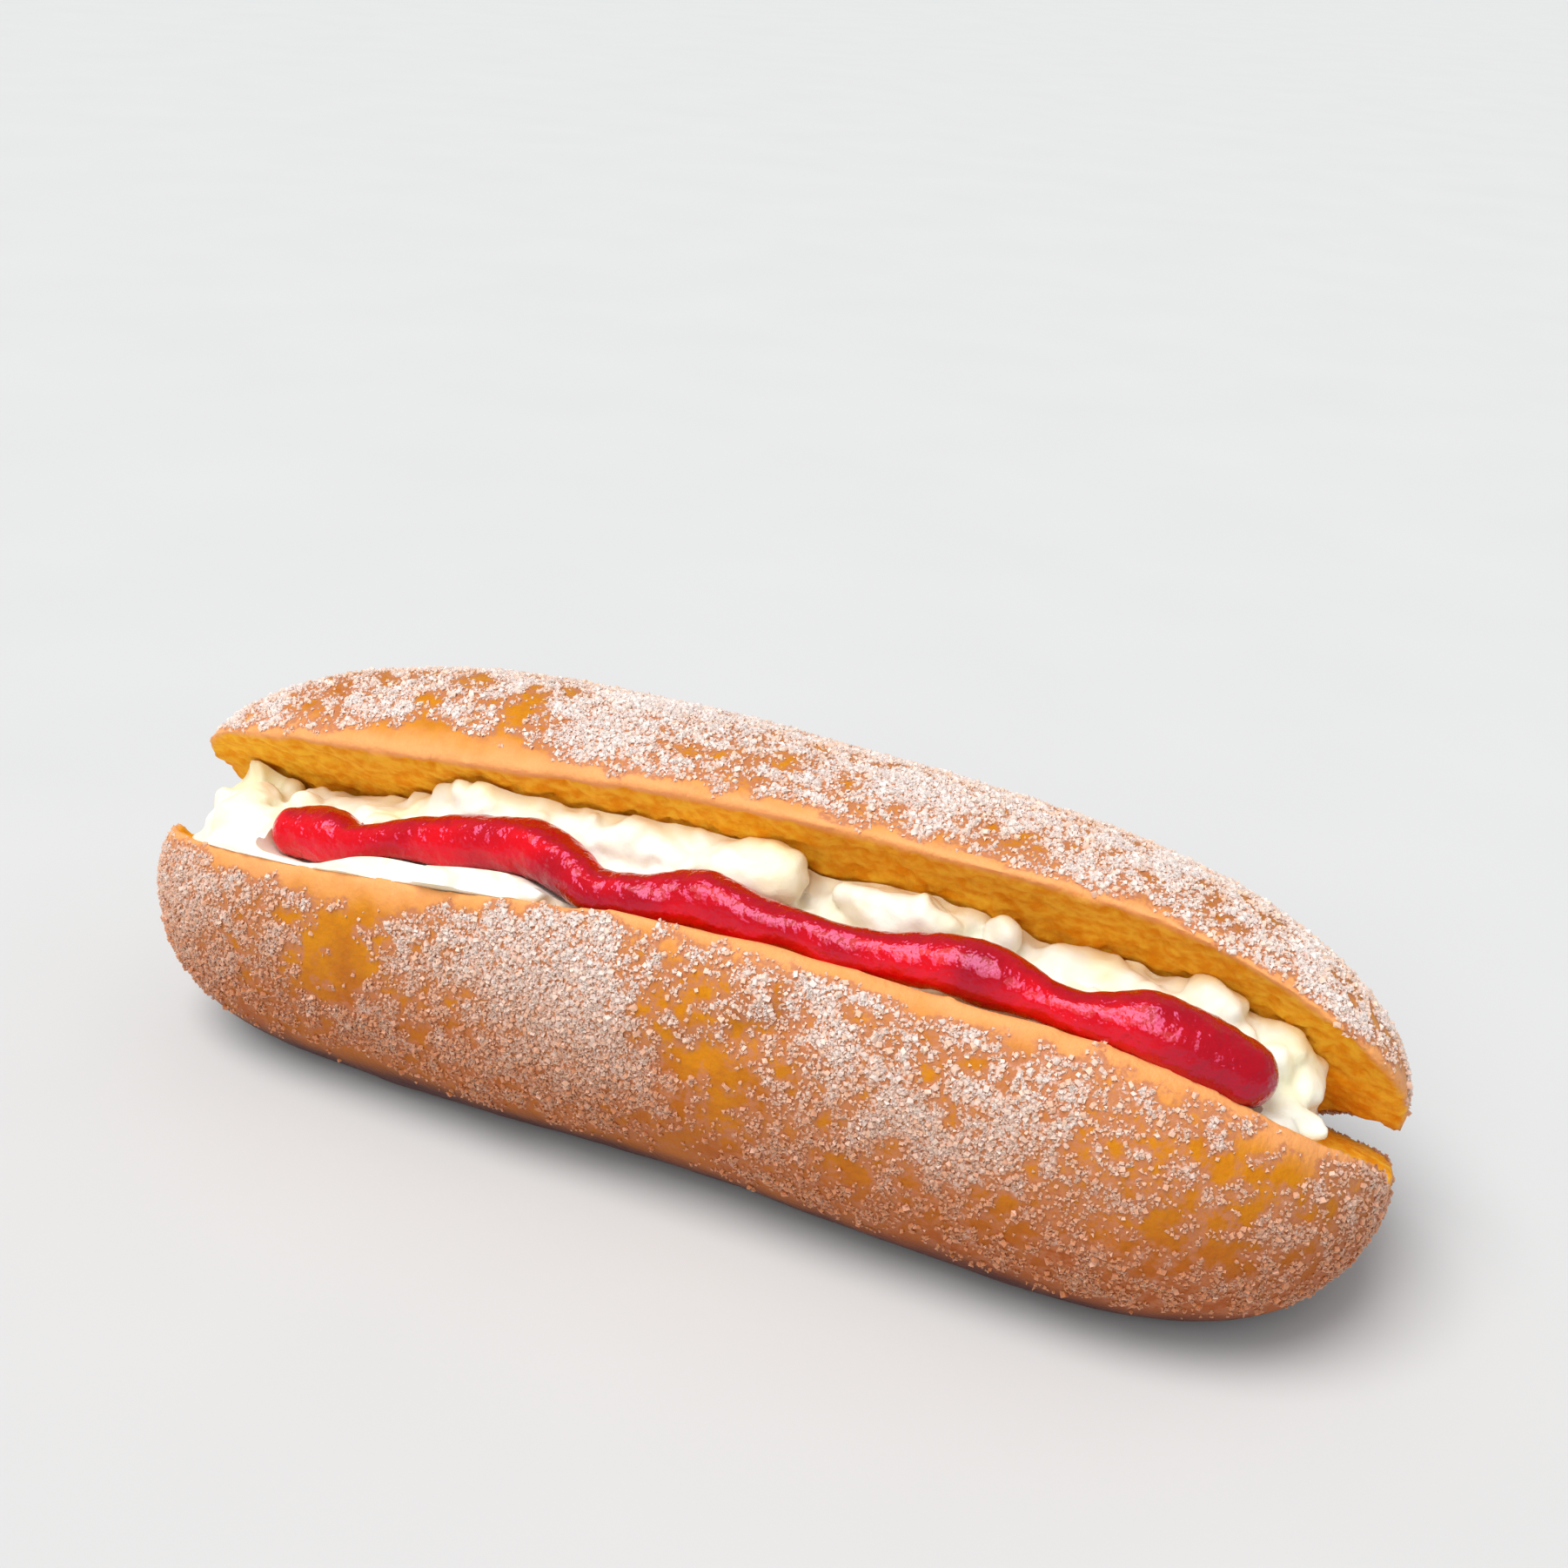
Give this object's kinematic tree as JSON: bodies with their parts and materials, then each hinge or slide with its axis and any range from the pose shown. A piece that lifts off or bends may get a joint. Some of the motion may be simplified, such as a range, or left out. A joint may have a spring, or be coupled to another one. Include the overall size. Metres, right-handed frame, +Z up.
{
  "type": "finger doughnut filled with cream and jam",
  "caption": "Long sugared doughnut, slit along one side and opened, filled with whipped cream and a rope of red jam.",
  "frame": {"origin": "centre of the footprint, on the surface that the doughnut rests on", "axes": "+X along the doughnut, -Y towards its open side, +Z up"},
  "size_m": [0.175, 0.0614, 0.0573],
  "materials": {
    "dough": "fried golden crust with pale crumb inside and coarse sugar outside",
    "cream": "soft whipped cream",
    "jam": "wet, glossy, slightly clear red jam"
  },
  "bodies": {
    "root": {"dough": "dough", "cream": "cream", "jam": "jam"}
  },
  "joints": []
}
